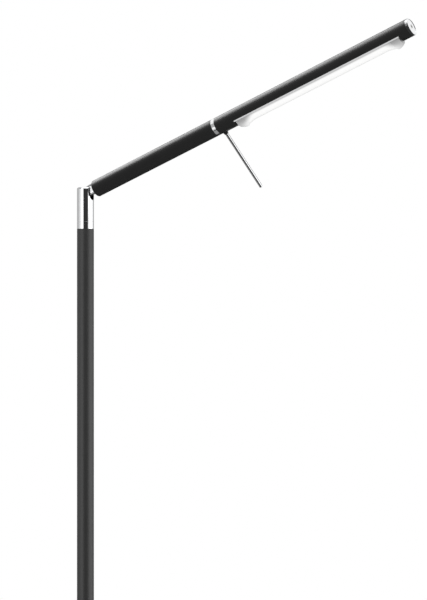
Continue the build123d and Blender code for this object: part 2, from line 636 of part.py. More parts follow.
with BuildPart() as board_screws:
    for station in board_screw_stations:
        with BuildSketch(outward(head, station).offset(BOARD_X + BOARD_T)) as screw_head:
            Circle(BOARD_SCREW_HEAD_R)
        extrude(screw_head.sketch, amount=BOARD_SCREW_HEAD_H)
        with BuildSketch(outward(head, station).offset(BOARD_X - BOARD_THREAD)) as shank:
            Circle(BOARD_SCREW_R)
        extrude(shank.sketch, amount=BOARD_T + BOARD_THREAD)
save(board_screws, "board_screws")

with BuildPart() as led_chips:
    for number in range(LED_COUNT):
        with BuildSketch(head.offset(LED_FIRST + number * led_pitch - CHIP_LEN / 2)) as chip:
            with Locations((BOARD_X + BOARD_T + CHIP_T / 2, 0)):
                Rectangle(CHIP_T, CHIP_W)
        extrude(chip.sketch, amount=CHIP_LEN)
save(led_chips, "led_chips")

FRAME_START = WINDOW_START + FRAME_END_GAP
FRAME_STOP = WINDOW_END - FRAME_END_GAP

with BuildPart() as cover_frame:
    with BuildSketch(outward(head, (FRAME_START + FRAME_STOP) / 2).offset(WINDOW_EDGE_X)):
        RectangleRounded(FRAME_STOP - FRAME_START, 2 * (TUBE_R - FIT_GAP), FRAME_CORNER)
        Rectangle(FRAME_STOP - FRAME_START - 2 * FRAME_W, 2 * (TUBE_R - FRAME_W), mode=Mode.SUBTRACT)
    extrude(amount=FRAME_H)
save(cover_frame, "cover_frame")


def dome(station, crown, half):
    """Sketch of the half-round cover section at a station: a half ellipse below the frame."""
    with BuildSketch(head.offset(station)) as section:
        with Locations((WINDOW_EDGE_X, 0)):
            Ellipse(crown - WINDOW_EDGE_X, half)
        with Locations((WINDOW_EDGE_X, 0)):
            Rectangle(2 * TUBE_R, 3 * TUBE_R, align=(Align.MAX, Align.CENTER), mode=Mode.SUBTRACT)
    return section.sketch


LENS_START = WINDOW_START + BLOCK_STOP + FIT_GAP
LENS_STOP = WINDOW_END - BLOCK_STOP - FIT_GAP

with BuildPart() as light_cover:
    extrude(dome(LENS_START, LENS_CROWN, LENS_HALF), amount=LENS_STOP - LENS_START)
    loft([dome(LENS_START, LENS_FLARE, LENS_HALF), dome(LENS_START + FLARE_LEN, LENS_CROWN, LENS_HALF)])
    loft([dome(LENS_STOP, LENS_FLARE, LENS_HALF), dome(LENS_STOP - FLARE_LEN, LENS_CROWN, LENS_HALF)])
    extrude(dome(LENS_START - CUT, LENS_CROWN - LENS_WALL, LENS_HALF - LENS_WALL),
            amount=LENS_STOP - LENS_START + 2 * CUT, mode=Mode.SUBTRACT)
save(light_cover, "light_cover")

for name, window_edge, inward in (("cover_end_inner", WINDOW_START, 1), ("cover_end_outer", WINDOW_END, -1)):
    foot = window_edge + inward * (FRAME_END_GAP + FRAME_W)
    crest = window_edge + inward * BLOCK_CREST
    stop = window_edge + inward * BLOCK_STOP
    with BuildPart() as cover_end:
        loft([dome(foot, BLOCK_TIP, BLOCK_HALF), dome(crest, BLOCK_CROWN, BLOCK_HALF)])
        loft([dome(crest, BLOCK_CROWN, BLOCK_HALF), dome(stop, LENS_FLARE + BLOCK_STEP, BLOCK_HALF)])
    save(cover_end, name)

with BuildPart() as end_plug:
    bar(head, WINDOW_END + PLUG_INSET, CAP_START, PLUG_R)
    bar(head, WINDOW_END + PLUG_INSET, CAP_START, CAP_SCREW_R, mode=Mode.SUBTRACT)
save(end_plug, "end_plug")

with BuildPart() as end_cap:
    bar(head, CAP_START, CAP_END, TUBE_R)
    fillet(end_cap.edges().sort_by(Axis(pin, along))[-1], CAP_EDGE)
    # dished face and the seat of its screw
    bar(head, CAP_END - CAP_DISH, CAP_END, TUBE_R - CAP_RIM, mode=Mode.SUBTRACT)
    bar(head, CAP_START, CAP_END, CAP_SCREW_R, mode=Mode.SUBTRACT)
    bar(head, CAP_END - CAP_SEAT_DEPTH, CAP_END, CAP_SEAT_R, mode=Mode.SUBTRACT)
save(end_cap, "end_cap")

with BuildPart() as cap_screw:
    bar(head, CAP_SCREW_START, CAP_END - CAP_SEAT_DEPTH, CAP_SCREW_R)
    bar(head, CAP_END - CAP_SEAT_DEPTH, CAP_END - CAP_HEAD_SINK, CAP_HEAD_R)
    with BuildSketch(head.offset(CAP_END - CAP_HEAD_SINK)):
        RegularPolygon(GRUB_SOCKET_R, 6)
    extrude(amount=-CAP_SOCKET_DEPTH, mode=Mode.SUBTRACT)
save(cap_screw, "cap_screw")

with BuildPart() as head_lead:
    bar(head, SPIGOT_START + 2 * LEAD_END_GAP, HEAD_START + SPIGOT_FLANGE, LEAD_R)
save(head_lead, "head_lead")
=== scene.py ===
"""Visual model of the floor-standing LED reading lamp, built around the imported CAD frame.

Metres, +Z up, the arm towards +X at rest. The hinge, the slotted head tube, the window's frame, the
screws and all that is inside keep their CAD meshes, with procedural materials and, where it shows,
finely rounded edges. The turned pieces and the light cover are made again here, and ride on the CAD
bodies in the same places.
"""

import json
from math import cos, pi, radians, sin, tan

import bmesh
import bpy
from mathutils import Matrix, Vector


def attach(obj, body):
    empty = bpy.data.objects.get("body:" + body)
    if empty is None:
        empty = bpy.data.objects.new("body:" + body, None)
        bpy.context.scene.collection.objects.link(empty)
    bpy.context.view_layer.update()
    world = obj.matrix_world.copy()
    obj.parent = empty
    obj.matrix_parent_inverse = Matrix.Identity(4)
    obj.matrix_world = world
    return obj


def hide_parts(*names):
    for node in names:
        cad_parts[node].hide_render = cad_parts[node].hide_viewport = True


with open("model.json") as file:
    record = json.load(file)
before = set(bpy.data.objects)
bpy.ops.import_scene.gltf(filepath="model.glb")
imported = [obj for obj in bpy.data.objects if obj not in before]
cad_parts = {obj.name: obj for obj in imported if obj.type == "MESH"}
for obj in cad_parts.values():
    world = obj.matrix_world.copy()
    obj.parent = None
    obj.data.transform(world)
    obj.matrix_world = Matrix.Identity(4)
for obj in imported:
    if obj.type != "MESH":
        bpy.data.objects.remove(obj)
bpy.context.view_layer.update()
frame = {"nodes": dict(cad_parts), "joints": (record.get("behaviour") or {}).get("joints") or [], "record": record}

MM = 0.001
MICRON = 0.000001
nodes = frame["nodes"]
record = frame["record"]
joints = {joint["name"]: joint for joint in frame["joints"]}
mounts = {mount["name"]: mount for mount in record["mounts"]}
slot_of = {part["node"]: part["material_slot"] for part in record["subparts"]}
body_of = {node: body for body, members in record["behaviour"]["bodies"].items() for node in members}

# ---------------------------------------------------------------- lines and stations of the frame
up = Vector((0, 0, 1))
floor_centre = Vector((0, 0, 0))
pin = Vector(joints["arm_tilt"]["pos_m"])
along = Vector(joints["head_roll"]["axis"]).normalized()


def reach(node, origin, direction):
    """The least and the most distance of a CAD node along a direction from a point."""
    ends = [(vertex.co - origin).dot(direction) for vertex in nodes[node].data.vertices]
    return min(ends), max(ends)


def girth(node, origin, axis):
    """The largest distance of a CAD node from a line."""
    return max((vertex.co - origin).cross(axis).length for vertex in nodes[node].data.vertices)


# the handle rod shows which way the head's window looks
rod_points = [vertex.co for vertex in nodes["handle_rod"].data.vertices]
rod_centre = sum(rod_points, Vector()) / len(rod_points)
rod_station = (rod_centre - pin).dot(along)
window_way = (rod_centre - pin - rod_station * along).normalized()
window_side = along.cross(window_way)
cover_plane = reach("cover_frame", pin, window_way)[0]
lens_start, lens_stop = reach("light_cover", pin, along)
TUBE_R = girth("arm_tube", pin, along)

# ---------------------------------------------------------------- camera
VIEW_AZIMUTH = radians(30)
CAMERA_DISTANCE = 2.8  # from the tilt screw, along the view
CAMERA_RIGHT = 0.18895
CAMERA_DROP = 0.1561
CAMERA_LENS = 113.85  # focal length in millimetres
SENSOR_WIDTH = 36
image_right = Vector((cos(VIEW_AZIMUTH), sin(VIEW_AZIMUTH), 0))
image_depth = Vector((-sin(VIEW_AZIMUTH), cos(VIEW_AZIMUTH), 0))

camera = bpy.data.objects.new("camera", bpy.data.cameras.new("camera"))
bpy.context.scene.collection.objects.link(camera)
camera.location = pin + CAMERA_RIGHT * image_right - CAMERA_DISTANCE * image_depth - CAMERA_DROP * up
camera.rotation_euler = (radians(90), 0, VIEW_AZIMUTH)
camera.data.sensor_width = SENSOR_WIDTH
camera.data.lens = CAMERA_LENS
bpy.context.scene.camera = camera
bpy.context.scene.view_settings.view_transform = "Standard"


# ---------------------------------------------------------------- shader node helpers
class Tree:
    """A node tree with short calls for the nodes that the materials and the world are made of."""

    def __init__(self, owner):
        owner.use_nodes = True
        self.nodes = owner.node_tree.nodes
        self.links = owner.node_tree.links

    def feed(self, socket, value):
        """Puts a number or colour on a socket, or links another socket to it; None leaves it alone."""
        if isinstance(value, bpy.types.NodeSocket):
            self.links.new(value, socket)
        elif value is not None:
            socket.default_value = value

    def add(self, kind, output, **inputs):
        """Adds a node, fills its inputs by name and returns one of its outputs."""
        node = self.nodes.new(kind)
        for name, value in inputs.items():
            self.feed(node.inputs[name.replace("_", " ")], value)
        return node.outputs[output]

    def math(self, operation, *values):
        """One arithmetic operation on numbers or sockets."""
        node = self.nodes.new("ShaderNodeMath")
        node.operation = operation
        for socket, value in zip(node.inputs, values):
            self.feed(socket, value)
        return node.outputs[0]

    def dot(self, vector, direction):
        """How far a vector reaches along a direction."""
        node = self.nodes.new("ShaderNodeVectorMath")
        node.operation = "DOT_PRODUCT"
        self.feed(node.inputs[0], vector)
        node.inputs[1].default_value = direction
        return node.outputs["Value"]

    def distance(self, *offsets):
        """The distance that two offsets at right angles make."""
        squares = [self.math("MULTIPLY", offset, offset) for offset in offsets]
        return self.math("SQRT", self.math("ADD", *squares))

    def ramp(self, value, start, end, low=0.0, high=1.0):
        """Goes smoothly from low to high as the value goes from start to end."""
        node = self.nodes.new("ShaderNodeMapRange")
        node.interpolation_type = "SMOOTHSTEP"
        self.feed(node.inputs["Value"], value)
        node.inputs["From Min"].default_value = start
        node.inputs["From Max"].default_value = end
        self.feed(node.inputs["To Min"], low)
        self.feed(node.inputs["To Max"], high)
        return node.outputs["Result"]

    def place(self):
        """Where a point of the surface is, in metres, in the piece's own rest frame."""
        return self.nodes.new("ShaderNodeTexCoord").outputs["Object"]

    def noise(self, scale, detail=2.0, stretch=None):
        """Soft noise with about `scale` grains to the metre, longer along one direction if stretched."""
        where = self.place()
        if stretch:
            where = self.add("ShaderNodeMapping", "Vector", Vector=where, Scale=stretch)
        return self.add("ShaderNodeTexNoise", "Fac", Vector=where, Scale=scale, Detail=detail)

    def blend(self, factor, a, b):
        """Colour a where the factor is 0, colour b where it is 1."""
        node = self.nodes.new("ShaderNodeMix")
        node.data_type = "RGBA"
        colours = [socket for socket in node.inputs if socket.type == "RGBA"]
        self.feed(node.inputs[0], factor)
        self.feed(colours[0], a)
        self.feed(colours[1], b)
        return [socket for socket in node.outputs if socket.type == "RGBA"][0]

    def bump(self, height, distance, normal=None):
        """A normal bent by a relief of the given height in metres, on top of another normal."""
        return self.add("ShaderNodeBump", "Normal", Height=height, Distance=distance, Normal=normal)


def grey(value):
    """A neutral colour."""
    return (value, value, value, 1.0)


def tint(colour, factor):
    """A colour made darker or lighter by a factor."""
    return tuple(factor * channel for channel in colour) + (1.0,)


def new_material(name):
    """A material with its tree and the inputs of its Principled shader."""
    made = bpy.data.materials.new(name)
    tree = Tree(made)
    return made, tree, tree.nodes["Principled BSDF"].inputs


# ---------------------------------------------------------------- materials
TURNED = (0.05, 0.05, 1.0)  # stretch of the marks on turned metal
EXTRUDED = (1.0, 1.0, 0.05)
BRUSHED = (1.0, 1.0, 0.08)
TRACKS = (1.0, 0.35, 1.0)
HAZY_CHROME = (0.84, 0.85, 0.86, 1.0)
CLEAR_CHROME = (0.90, 0.905, 0.91, 1.0)

# the fork's slot and the tongue's eye, where the chrome gets painted shade, taken a little larger than the CAD
# makes them
SLOT_HALF = 5.25 * MM
SLOT_BACK = 10.75 * MM
SLOT_DEPTH = 8.95 * MM
EYE_R = 9.2 * MM
EASING = 0.2 * MM


def powder_coat(name, shade, gloss):
    """Satin black powder coat: fine orange peel, faint clouding, a few pale specks of dust."""
    made, tree, shader = new_material(name)
    cloud = tree.noise(45, 3.0)
    speck = tree.ramp(tree.noise(2600, 1.0), 0.72, 0.80)
    paint = tree.blend(cloud, grey(0.94 * shade), grey(1.06 * shade))
    dust = grey(2.2 * shade)
    tree.feed(shader["Base Color"], tree.blend(speck, paint, dust))
    tree.feed(shader["Roughness"], tree.ramp(cloud, 0.3, 0.7, gloss - 0.01, gloss + 0.01))
    peel = tree.bump(tree.noise(1400, 2.0), 12 * MICRON)
    tree.feed(shader["Normal"], tree.bump(tree.noise(5200, 1.0), 3 * MICRON, peel))
    return made


def polished_chrome(name, painted_shade_mask=None):
    """Chrome plate: a trace of polishing haze and hairlines. Inside the hinge, where the mask gives 1,
    the plating is made rough and painted near black as painted shade for the shadow in the slot."""
    made, tree, shader = new_material(name)
    haze = tree.noise(160, 4.0)
    hairline = tree.noise(900, 2.0, stretch=BRUSHED)
    shader["Metallic"].default_value = 1.0
    plate = tree.blend(haze, HAZY_CHROME, CLEAR_CHROME)
    gloss = tree.ramp(hairline, 0.3, 0.75, 0.035, 0.075)
    if painted_shade_mask:
        inside = painted_shade_mask(tree)
        # painted shade: inside the hinge the chrome turns near black
        painted_shade_colour = tree.blend(haze, grey(0.02), grey(0.05))
        plate = tree.blend(inside, plate, painted_shade_colour)
        gloss = tree.math("MAXIMUM", gloss, tree.math("MULTIPLY", inside, 0.45))
    tree.feed(shader["Base Color"], plate)
    tree.feed(shader["Roughness"], gloss)
    tree.feed(shader["Normal"], tree.bump(hairline, 1.5 * MICRON))
    return made


def fork_slot_shade(tree):
    """1 on the walls and the round floor of the fork's slot, where the chrome gets painted shade, 0 on its
    outside.
    """
    place = tree.place()
    ahead = tree.ramp(tree.dot(place, (1, 0, 0)), -SLOT_BACK - EASING, -SLOT_BACK)
    aside = tree.dot(place, (0, 1, 0))
    round_centre = pin.z - SLOT_DEPTH + SLOT_HALF
    below = tree.math("MAXIMUM", tree.math("SUBTRACT", round_centre, tree.dot(place, up)), 0.0)
    within = tree.ramp(tree.distance(aside, below), SLOT_HALF, SLOT_HALF + EASING, 1.0, 0.0)
    return tree.math("MULTIPLY", ahead, within)


def knuckle_eye_shade(tree):
    """1 on the eye of the tongue, about the tilt screw, where the chrome gets painted shade, 0 on what stands out
    of the fork.
    """
    place = tree.place()
    height = tree.math("SUBTRACT", tree.dot(place, up), pin.z)
    radius = tree.distance(tree.dot(place, (1, 0, 0)), height)
    return tree.ramp(radius, EYE_R, EYE_R + EASING, 1.0, 0.0)


def machined_metal(name, colour, gloss, grain):
    """Turned or extruded metal with fine tool marks across the given stretch."""
    made, tree, shader = new_material(name)
    marks = tree.noise(1100, 3.0, stretch=grain)
    stain = tree.noise(120, 3.0)
    shader["Metallic"].default_value = 1.0
    tree.feed(shader["Base Color"], tree.blend(stain, tint(colour, 0.88), tint(colour, 1.0)))
    tree.feed(shader["Roughness"], tree.ramp(marks, 0.25, 0.75, gloss - 0.07, gloss + 0.07))
    tree.feed(shader["Normal"], tree.bump(marks, 6 * MICRON))
    return made


def moulded(name, colour, gloss, relief=6 * MICRON, leak=0.0):
    """Moulded plastic or rubber with a fine spark-eroded texture; `leak` is light shining through."""
    made, tree, shader = new_material(name)
    texture = tree.noise(1800, 3.0)
    flow = tree.noise(70, 2.0)
    tree.feed(shader["Base Color"], tree.blend(flow, tint(colour, 0.93), tint(colour, 1.03)))
    tree.feed(shader["Roughness"], tree.ramp(texture, 0.3, 0.7, gloss - 0.05, gloss + 0.05))
    tree.feed(shader["Normal"], tree.bump(texture, relief))
    shader["Emission Color"].default_value = grey(1.0)
    shader["Emission Strength"].default_value = leak
    return made


def foam_pad():
    """Closed-cell foam rubber: open pores, painted darker in their hollows as painted shade, and a dusty bloom."""
    made, tree, shader = new_material("pad")
    cells = tree.add("ShaderNodeTexVoronoi", "Distance", Vector=tree.place(), Scale=900)
    pores = tree.ramp(cells, 0.1, 0.6)
    # painted shade: the hollows of the pores are darker, the walls between them carry the dusty bloom
    tree.feed(shader["Base Color"], tree.blend(pores, grey(0.012), grey(0.045)))
    shader["Roughness"].default_value = 0.92
    tree.feed(shader["Normal"], tree.bump(pores, 120 * MICRON))
    return made


def cover_light(tree):
    """How strongly the chips light the cover at a point, and how deep under the arm's axis that is."""
    station = tree.math("SUBTRACT", tree.dot(tree.place(), along), pin.dot(along))
    depth = tree.math("SUBTRACT", tree.dot(tree.place(), window_way), pin.dot(window_way))
    # the lit stretch is longer at the crown than at the rim
    rim, crown = 1 * MM, 16 * MM
    first = tree.ramp(depth, rim, crown, lens_start + 14 * MM, lens_start - 3 * MM)
    last = tree.ramp(depth, rim, crown, lens_stop - 8 * MM, lens_stop + 4 * MM)
    lit_first = tree.ramp(tree.math("SUBTRACT", station, first), -11 * MM, 8 * MM)
    lit_last = tree.ramp(tree.math("SUBTRACT", last, station), -9 * MM, 8 * MM)
    return tree.math("MULTIPLY", lit_first, lit_last), depth


def opal_cover():
    """Opal acrylic, lit by the chips behind it: bright in the middle, fading to grey at both ends."""
    made, tree, shader = new_material("opal")
    lit, depth = cover_light(tree)
    rim = tree.ramp(depth, 2.8 * MM, 6 * MM, 0.30, 0.78)
    ripple = tree.ramp(tree.noise(300, 2.0), 0.3, 0.7, 0.985, 1.015)
    glow = tree.math("MULTIPLY", tree.math("MULTIPLY", lit, rim), ripple)
    tree.feed(shader["Base Color"], tree.blend(lit, grey(0.56), grey(0.35)))
    shader["Roughness"].default_value = 0.28
    shader["Coat Weight"].default_value = 1.0
    shader["Coat Roughness"].default_value = 0.12
    shader["Emission Color"].default_value = (1.0, 0.998, 0.993, 1.0)
    tree.feed(shader["Emission Strength"], glow)
    tree.feed(shader["Normal"], tree.bump(tree.noise(1500, 2.0), 2 * MICRON))
    return made


def frosted_end():
    """Frosted clear plastic: pale grey, lighter where light leaks into it from the lit cover."""
    made, tree, shader = new_material("frosted")
    lit, depth = cover_light(tree)
    frost = tree.noise(2400, 3.0)
    fade = tree.ramp(depth, 2 * MM, 17 * MM)
    leak = tree.math("MULTIPLY_ADD", lit, 0.35, tree.math("MULTIPLY", fade, 0.12))
    tree.feed(shader["Base Color"], tree.blend(fade, grey(0.46), grey(0.66)))
    tree.feed(shader["Roughness"], tree.ramp(frost, 0.3, 0.7, 0.34, 0.46))
    shader["Emission Color"].default_value = grey(1.0)
    tree.feed(shader["Emission Strength"], leak)
    tree.feed(shader["Normal"], tree.bump(frost, 8 * MICRON))
    return made


def lit_chip():
    """A white LED package: yellow phosphor square, glowing."""
    made, tree, shader = new_material("led")
    phosphor = tree.noise(4000, 2.0)
    deep, pale = (0.85, 0.72, 0.30, 1.0), (0.95, 0.86, 0.48, 1.0)
    tree.feed(shader["Base Color"], tree.blend(phosphor, deep, pale))
    shader["Roughness"].default_value = 0.35
    shader["Emission Color"].default_value = (1.0, 0.95, 0.85, 1.0)
    shader["Emission Strength"].default_value = 3.0
    return made


def circuit_board(name, colour, trace):
    """Solder-masked board with the raised tracks showing through."""
    made, tree, shader = new_material(name)
    tracks = tree.ramp(tree.noise(420, 0.0, stretch=TRACKS), 0.48, 0.52)
    tree.feed(shader["Base Color"], tree.blend(tracks, tint(colour, 1.0), tint(trace, 1.0)))
    shader["Roughness"].default_value = 0.38
    tree.feed(shader["Normal"], tree.bump(tracks, 40 * MICRON))
    return made


finishes = {
    "satin_black": powder_coat("satin_black", 0.021, 0.38),
    "chrome": polished_chrome("chrome"),
    "raw_steel": machined_metal("raw_steel", (0.56, 0.55, 0.53), 0.30, TURNED),
    "pad": foam_pad(),
    "black_rubber": moulded("black_rubber", (0.022, 0.022, 0.023), 0.62),
    "lead_sheath": moulded("lead_sheath", (0.018, 0.018, 0.019), 0.48),
    "friction_disc": moulded("friction_disc", (0.70, 0.69, 0.64), 0.45),
    "sleeve": moulded("sleeve", (0.78, 0.78, 0.75), 0.55),
    "circuit_green": circuit_board("circuit_green", (0.02, 0.15, 0.06), (0.04, 0.24, 0.10)),
    "components": moulded("components", (0.035, 0.035, 0.040), 0.50),
    "sink": machined_metal("sink", (0.75, 0.76, 0.77), 0.36, EXTRUDED),
    "board_white": circuit_board("board_white", (0.82, 0.82, 0.80), (0.88, 0.88, 0.87)),
    "led": lit_chip(),
    "cover_white": moulded("cover_white", (0.80, 0.805, 0.81), 0.36, relief=2 * MICRON, leak=0.05),
    "opal": opal_cover(),
    "frosted": frosted_end(),
}
arm_paint = powder_coat("satin_black_arm", 0.023, 0.36)
for node, slot in slot_of.items():
    nodes[node].data.materials.clear()
    nodes[node].data.materials.append(finishes[slot])


# ---------------------------------------------------------------- mesh helpers
EDGE = 0.3 * MM  # usual rounding of a machined edge
FINE_EDGE = 0.5 * EDGE
SPIN_STEPS = 144
ARC_STEPS = 4


def rounded(outline, closed):
    """An outline's (station, radius) points, with every corner replaced by an arc of its rounding."""
    count = len(outline)
    smooth = []
    for index, (station, radius, rounding) in enumerate(outline):
        corner = Vector((station, radius))
        inner = closed or 0 < index < count - 1
        if not (inner and rounding):
            smooth.append(corner)
            continue
        before = (Vector(outline[index - 1][:2]) - corner).normalized()
        after = (Vector(outline[(index + 1) % count][:2]) - corner).normalized()
        half = 0.5 * before.angle(after)
        centre = corner + (before + after).normalized() * rounding / sin(half)
        first = corner + before * rounding / tan(half) - centre
        last = corner + after * rounding / tan(half) - centre
        sweep = first.angle(last)
        for step in range(ARC_STEPS + 1):
            share = step / ARC_STEPS
            point = (sin((1 - share) * sweep) * first + sin(share * sweep) * last) / sin(sweep)
            smooth.append(centre + point)
    return smooth


def skinned(rings, loop=False, shut=True):
    """A bmesh skinned over rings of equal length, and its rows of vertices. `loop` joins the last ring
    to the first, and `shut` joins the last point of each ring to its first."""
    made = bmesh.new()
    rows = [[made.verts.new(point) for point in ring] for ring in rings]
    count = len(rows[0])
    next_rows = rows[1:] + rows[:1] if loop else rows[1:]
    for here, following in zip(rows, next_rows):
        for index in range(count if shut else count - 1):
            other = (index + 1) % count
            made.faces.new((here[index], here[other], following[other], following[index]))
    return made, rows


def finish_piece(name, made, node, edge=0.0, finish=None):
    """Turns a bmesh into a piece that stands for a CAD node: its body, slot and material come with it."""
    bmesh.ops.recalc_face_normals(made, faces=made.faces)
    mesh = bpy.data.meshes.new(name)
    made.to_mesh(mesh)
    made.free()
    piece = bpy.data.objects.new(name, mesh)
    bpy.context.scene.collection.objects.link(piece)
    mesh.materials.append(finish or finishes[slot_of[node]])
    mesh.shade_smooth()
    if edge:
        soften(piece, edge)
    else:
        even_shading(piece)
    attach(piece, body_of[node])
    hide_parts(node)


def even_shading(piece):
    """Lets the large faces of a piece rule how its edges are shaded."""
    piece.modifiers.new("even_shading", "WEIGHTED_NORMAL").keep_sharp = True


def soften(piece, edge):
    """Rounds a piece's sharp edges with modifiers, after its thin slivers have joined the flat faces
    beside them, and evens the shading."""
    weld = piece.modifiers.new("weld", "WELD")
    weld.merge_threshold = 2 * MICRON
    flats = piece.modifiers.new("flats", "DECIMATE")
    flats.decimate_type = "DISSOLVE"
    flats.angle_limit = radians(0.5)
    bevel = piece.modifiers.new("edges", "BEVEL")
    bevel.limit_method = "ANGLE"
    bevel.angle_limit = radians(35)
    bevel.width = edge
    bevel.segments = 3
    even_shading(piece)


def turned(name, node, origin, axis, outline, closed=True, finish=None, steps=SPIN_STEPS):
    """A turned piece: the outline of (station, radius, rounding) corners spun about an axis."""
    points = rounded(outline, closed)
    first = axis.orthogonal().normalized()
    second = axis.cross(first)
    rings = []
    for step in range(steps):
        angle = 2 * pi * step / steps
        spoke = cos(angle) * first + sin(angle) * second
        rings.append([origin + axis * station + spoke * radius for station, radius in points])
    made = skinned(rings, loop=True, shut=closed)[0]
    bmesh.ops.remove_doubles(made, verts=made.verts, dist=0.5 * MICRON)
    finish_piece(name, made, node, finish=finish)


def tube_outline(start, end, radius, bore, start_edge=EDGE, end_edge=EDGE):
    """Outline of a plain tube with rounded outer edges."""
    outside = [(start, radius, start_edge), (end, radius, end_edge)]
    inside = [(end, bore, FINE_EDGE), (start, bore, FINE_EDGE)]
    return outside + inside


# ---------------------------------------------------------------- stand
WALL = 1.5 * MM
PLATE_BORE = 7 * MM
COLLAR_GAP = 0.1 * MM
SWIVEL_BORE = 5.1 * MM
GLAND_BORE = 2.8 * MM
GLAND_BARREL = 4 * MM
GLAND_FLANGE = 1.5 * MM


def upright_size(node):
    """The lowest and the highest point of a piece of the stand, and its radius."""
    low, high = reach(node, floor_centre, up)
    return low, high, girth(node, floor_centre, up)


def make_stand():
    """The foot with its pad and collar, the pole, the swivel ring and the gland."""
    low, high, rim = upright_size("base_plate")
    turned("foot_plate", "base_plate", floor_centre, up,
           [(low, rim, 0.5 * MM), (high, rim, 1.5 * MM), (high, PLATE_BORE, EDGE), (low, PLATE_BORE, EDGE)],
           steps=256)

    low, high, rim = upright_size("base_pad")
    turned("foot_pad", "base_pad", floor_centre, up,
           [(low, 0, 0), (low, rim, 0.5 * MM), (high, rim, EDGE), (high, 0, 0)],
           closed=False, steps=192)

    low, high, rim = upright_size("pole_collar")
    fit = TUBE_R + COLLAR_GAP
    turned("foot_collar", "pole_collar", floor_centre, up,
           [(low, rim, EDGE), (high, rim, 2 * MM), (high, fit, EDGE), (low, fit, EDGE)])

    for name, node in (("lower_pole", "pole_lower_tube"), ("upper_pole", "pole_upper_tube")):
        low, high = reach(node, floor_centre, up)
        turned(name, node, floor_centre, up, tube_outline(low, high, TUBE_R, TUBE_R - WALL))

    low, high = reach("swivel_ring", floor_centre, up)
    turned("chrome_ring", "swivel_ring", floor_centre, up,
           tube_outline(low, high, TUBE_R, SWIVEL_BORE, end_edge=0.08 * MM))

    # the gland's bore, flange and barrel about the line where the cord comes in
    inlet = Vector(mounts["cord_inlet"]["pos_m"])
    out = Vector(mounts["cord_inlet"]["axis"])
    depth = reach("cord_gland", inlet, out)[0]
    flange = girth("cord_gland", inlet, out)
    turned("inlet_gland", "cord_gland", inlet, out,
           [(depth, GLAND_BORE, 0), (0, GLAND_BORE, 0.6 * MM), (0, flange, 0.7 * MM),
            (-GLAND_FLANGE, flange, 0.1 * MM), (-GLAND_FLANGE, GLAND_BARREL, 0), (depth, GLAND_BARREL, 0)],
           steps=64)


# ---------------------------------------------------------------- arm and head
ROLL_BORE = 7 * MM
CAP_RIM = 2 * MM
DISH_DEPTH = 0.5 * MM
DISH_SLOPE = 0.4 * MM
SCREW_SEAT_R = 2.9 * MM
SCREW_SEAT_DEPTH = 2.2 * MM
FERRULE_ROOT = 1 * MM
FERRULE_SHOULDER = 0.7 * MM
FERRULE_LIP = 0.5 * MM


def make_arm():
    """The painted arm tube and the chrome ring that the head rolls on."""
    start, end = reach("arm_tube", pin, along)
    turned("arm_sleeve", "arm_tube", pin, along,
           tube_outline(start, end, TUBE_R, TUBE_R - WALL, start_edge=0.8 * MM), finish=arm_paint)

    start, end = reach("roll_ring", pin, along)
    turned("chrome_roll_ring", "roll_ring", pin, along,
           tube_outline(start, end, TUBE_R, ROLL_BORE, 0.4 * MM, 0.4 * MM))


def make_end_cap():
    """The chrome cap: a flat rim, a shallow dish and the seat of its screw."""
    start, end = reach("end_cap", pin, along)
    dish = TUBE_R - CAP_RIM
    turned("chrome_end_cap", "end_cap", pin, along,
           [(start, 0, 0), (start, TUBE_R, EDGE), (end, TUBE_R, 0.6 * MM), (end, dish, 0.25 * MM),
            (end - DISH_DEPTH, dish - DISH_SLOPE, EDGE), (end - DISH_DEPTH, SCREW_SEAT_R, 0.25 * MM),
            (end - SCREW_SEAT_DEPTH, SCREW_SEAT_R, 0), (end - SCREW_SEAT_DEPTH, 0, 0)],
           closed=False)


def make_handle():
    """The chrome rod that turns the head, and the black ferrule at its root."""
    foot = pin + rod_station * along
    low, high = reach("handle_rod", pin, window_way)
    radius = girth("handle_rod", foot, window_way)
    turned("chrome_handle", "handle_rod", foot, window_way,
           [(low, 0, 0), (low, radius, 0.2 * MM), (high, radius, 0.8 * MM), (high, 0, 0)],
           closed=False, steps=72)

    low, high = reach("handle_boss", foot, window_way)
    rim = girth("handle_boss", foot, window_way)
    root = low - FERRULE_ROOT
    turned("handle_ferrule", "handle_boss", foot, window_way,
           [(root, radius, 0), (root, rim, 0), (TUBE_R + FERRULE_SHOULDER, rim, 0.6 * MM),
            (high, radius + FERRULE_LIP, EDGE), (high, radius, 0)],
           finish=arm_paint, steps=72)


# ---------------------------------------------------------------- light cover
SECTION_STEPS = 48
LENS_CROWN = 15.5 * MM
LENS_FLARE = 17.4 * MM
LENS_HALF = 10.9 * MM
LENS_WALL = 1.4 * MM
FLARE_LENGTH = 12 * MM
FLARE_STEPS = 12
MIDDLE_STEPS = 24
BLOCK_TIP = 16.5 * MM
BLOCK_HALF = 10.7 * MM
BLOCK_MEET = 0.2 * MM  # how far the block's end stands over the lens
BLOCK_CREST = 0.76  # of the block's length, from its foot
BLOCK_STEPS = 20


def section(station, crown, half, inset=0.0):
    """Points of the cover's half-elliptic section, from one side of the window to the other."""
    centre = pin + station * along + cover_plane * window_way
    points = []
    for step in range(SECTION_STEPS + 1):
        angle = pi * step / SECTION_STEPS - pi / 2
        down = (crown - cover_plane - inset) * cos(angle) * window_way
        points.append(centre + down + (half - inset) * sin(angle) * window_side)
    return points


def spaced(start, stop, steps):
    """Evenly spaced stations after start, up to and with stop."""
    return [start + (stop - start) * step / steps for step in range(1, steps + 1)]


def ease(share):
    """Goes from 0 to 1 with level ends, and stays at 1."""
    share = min(share, 1.0)
    return share * share * (3 - 2 * share)


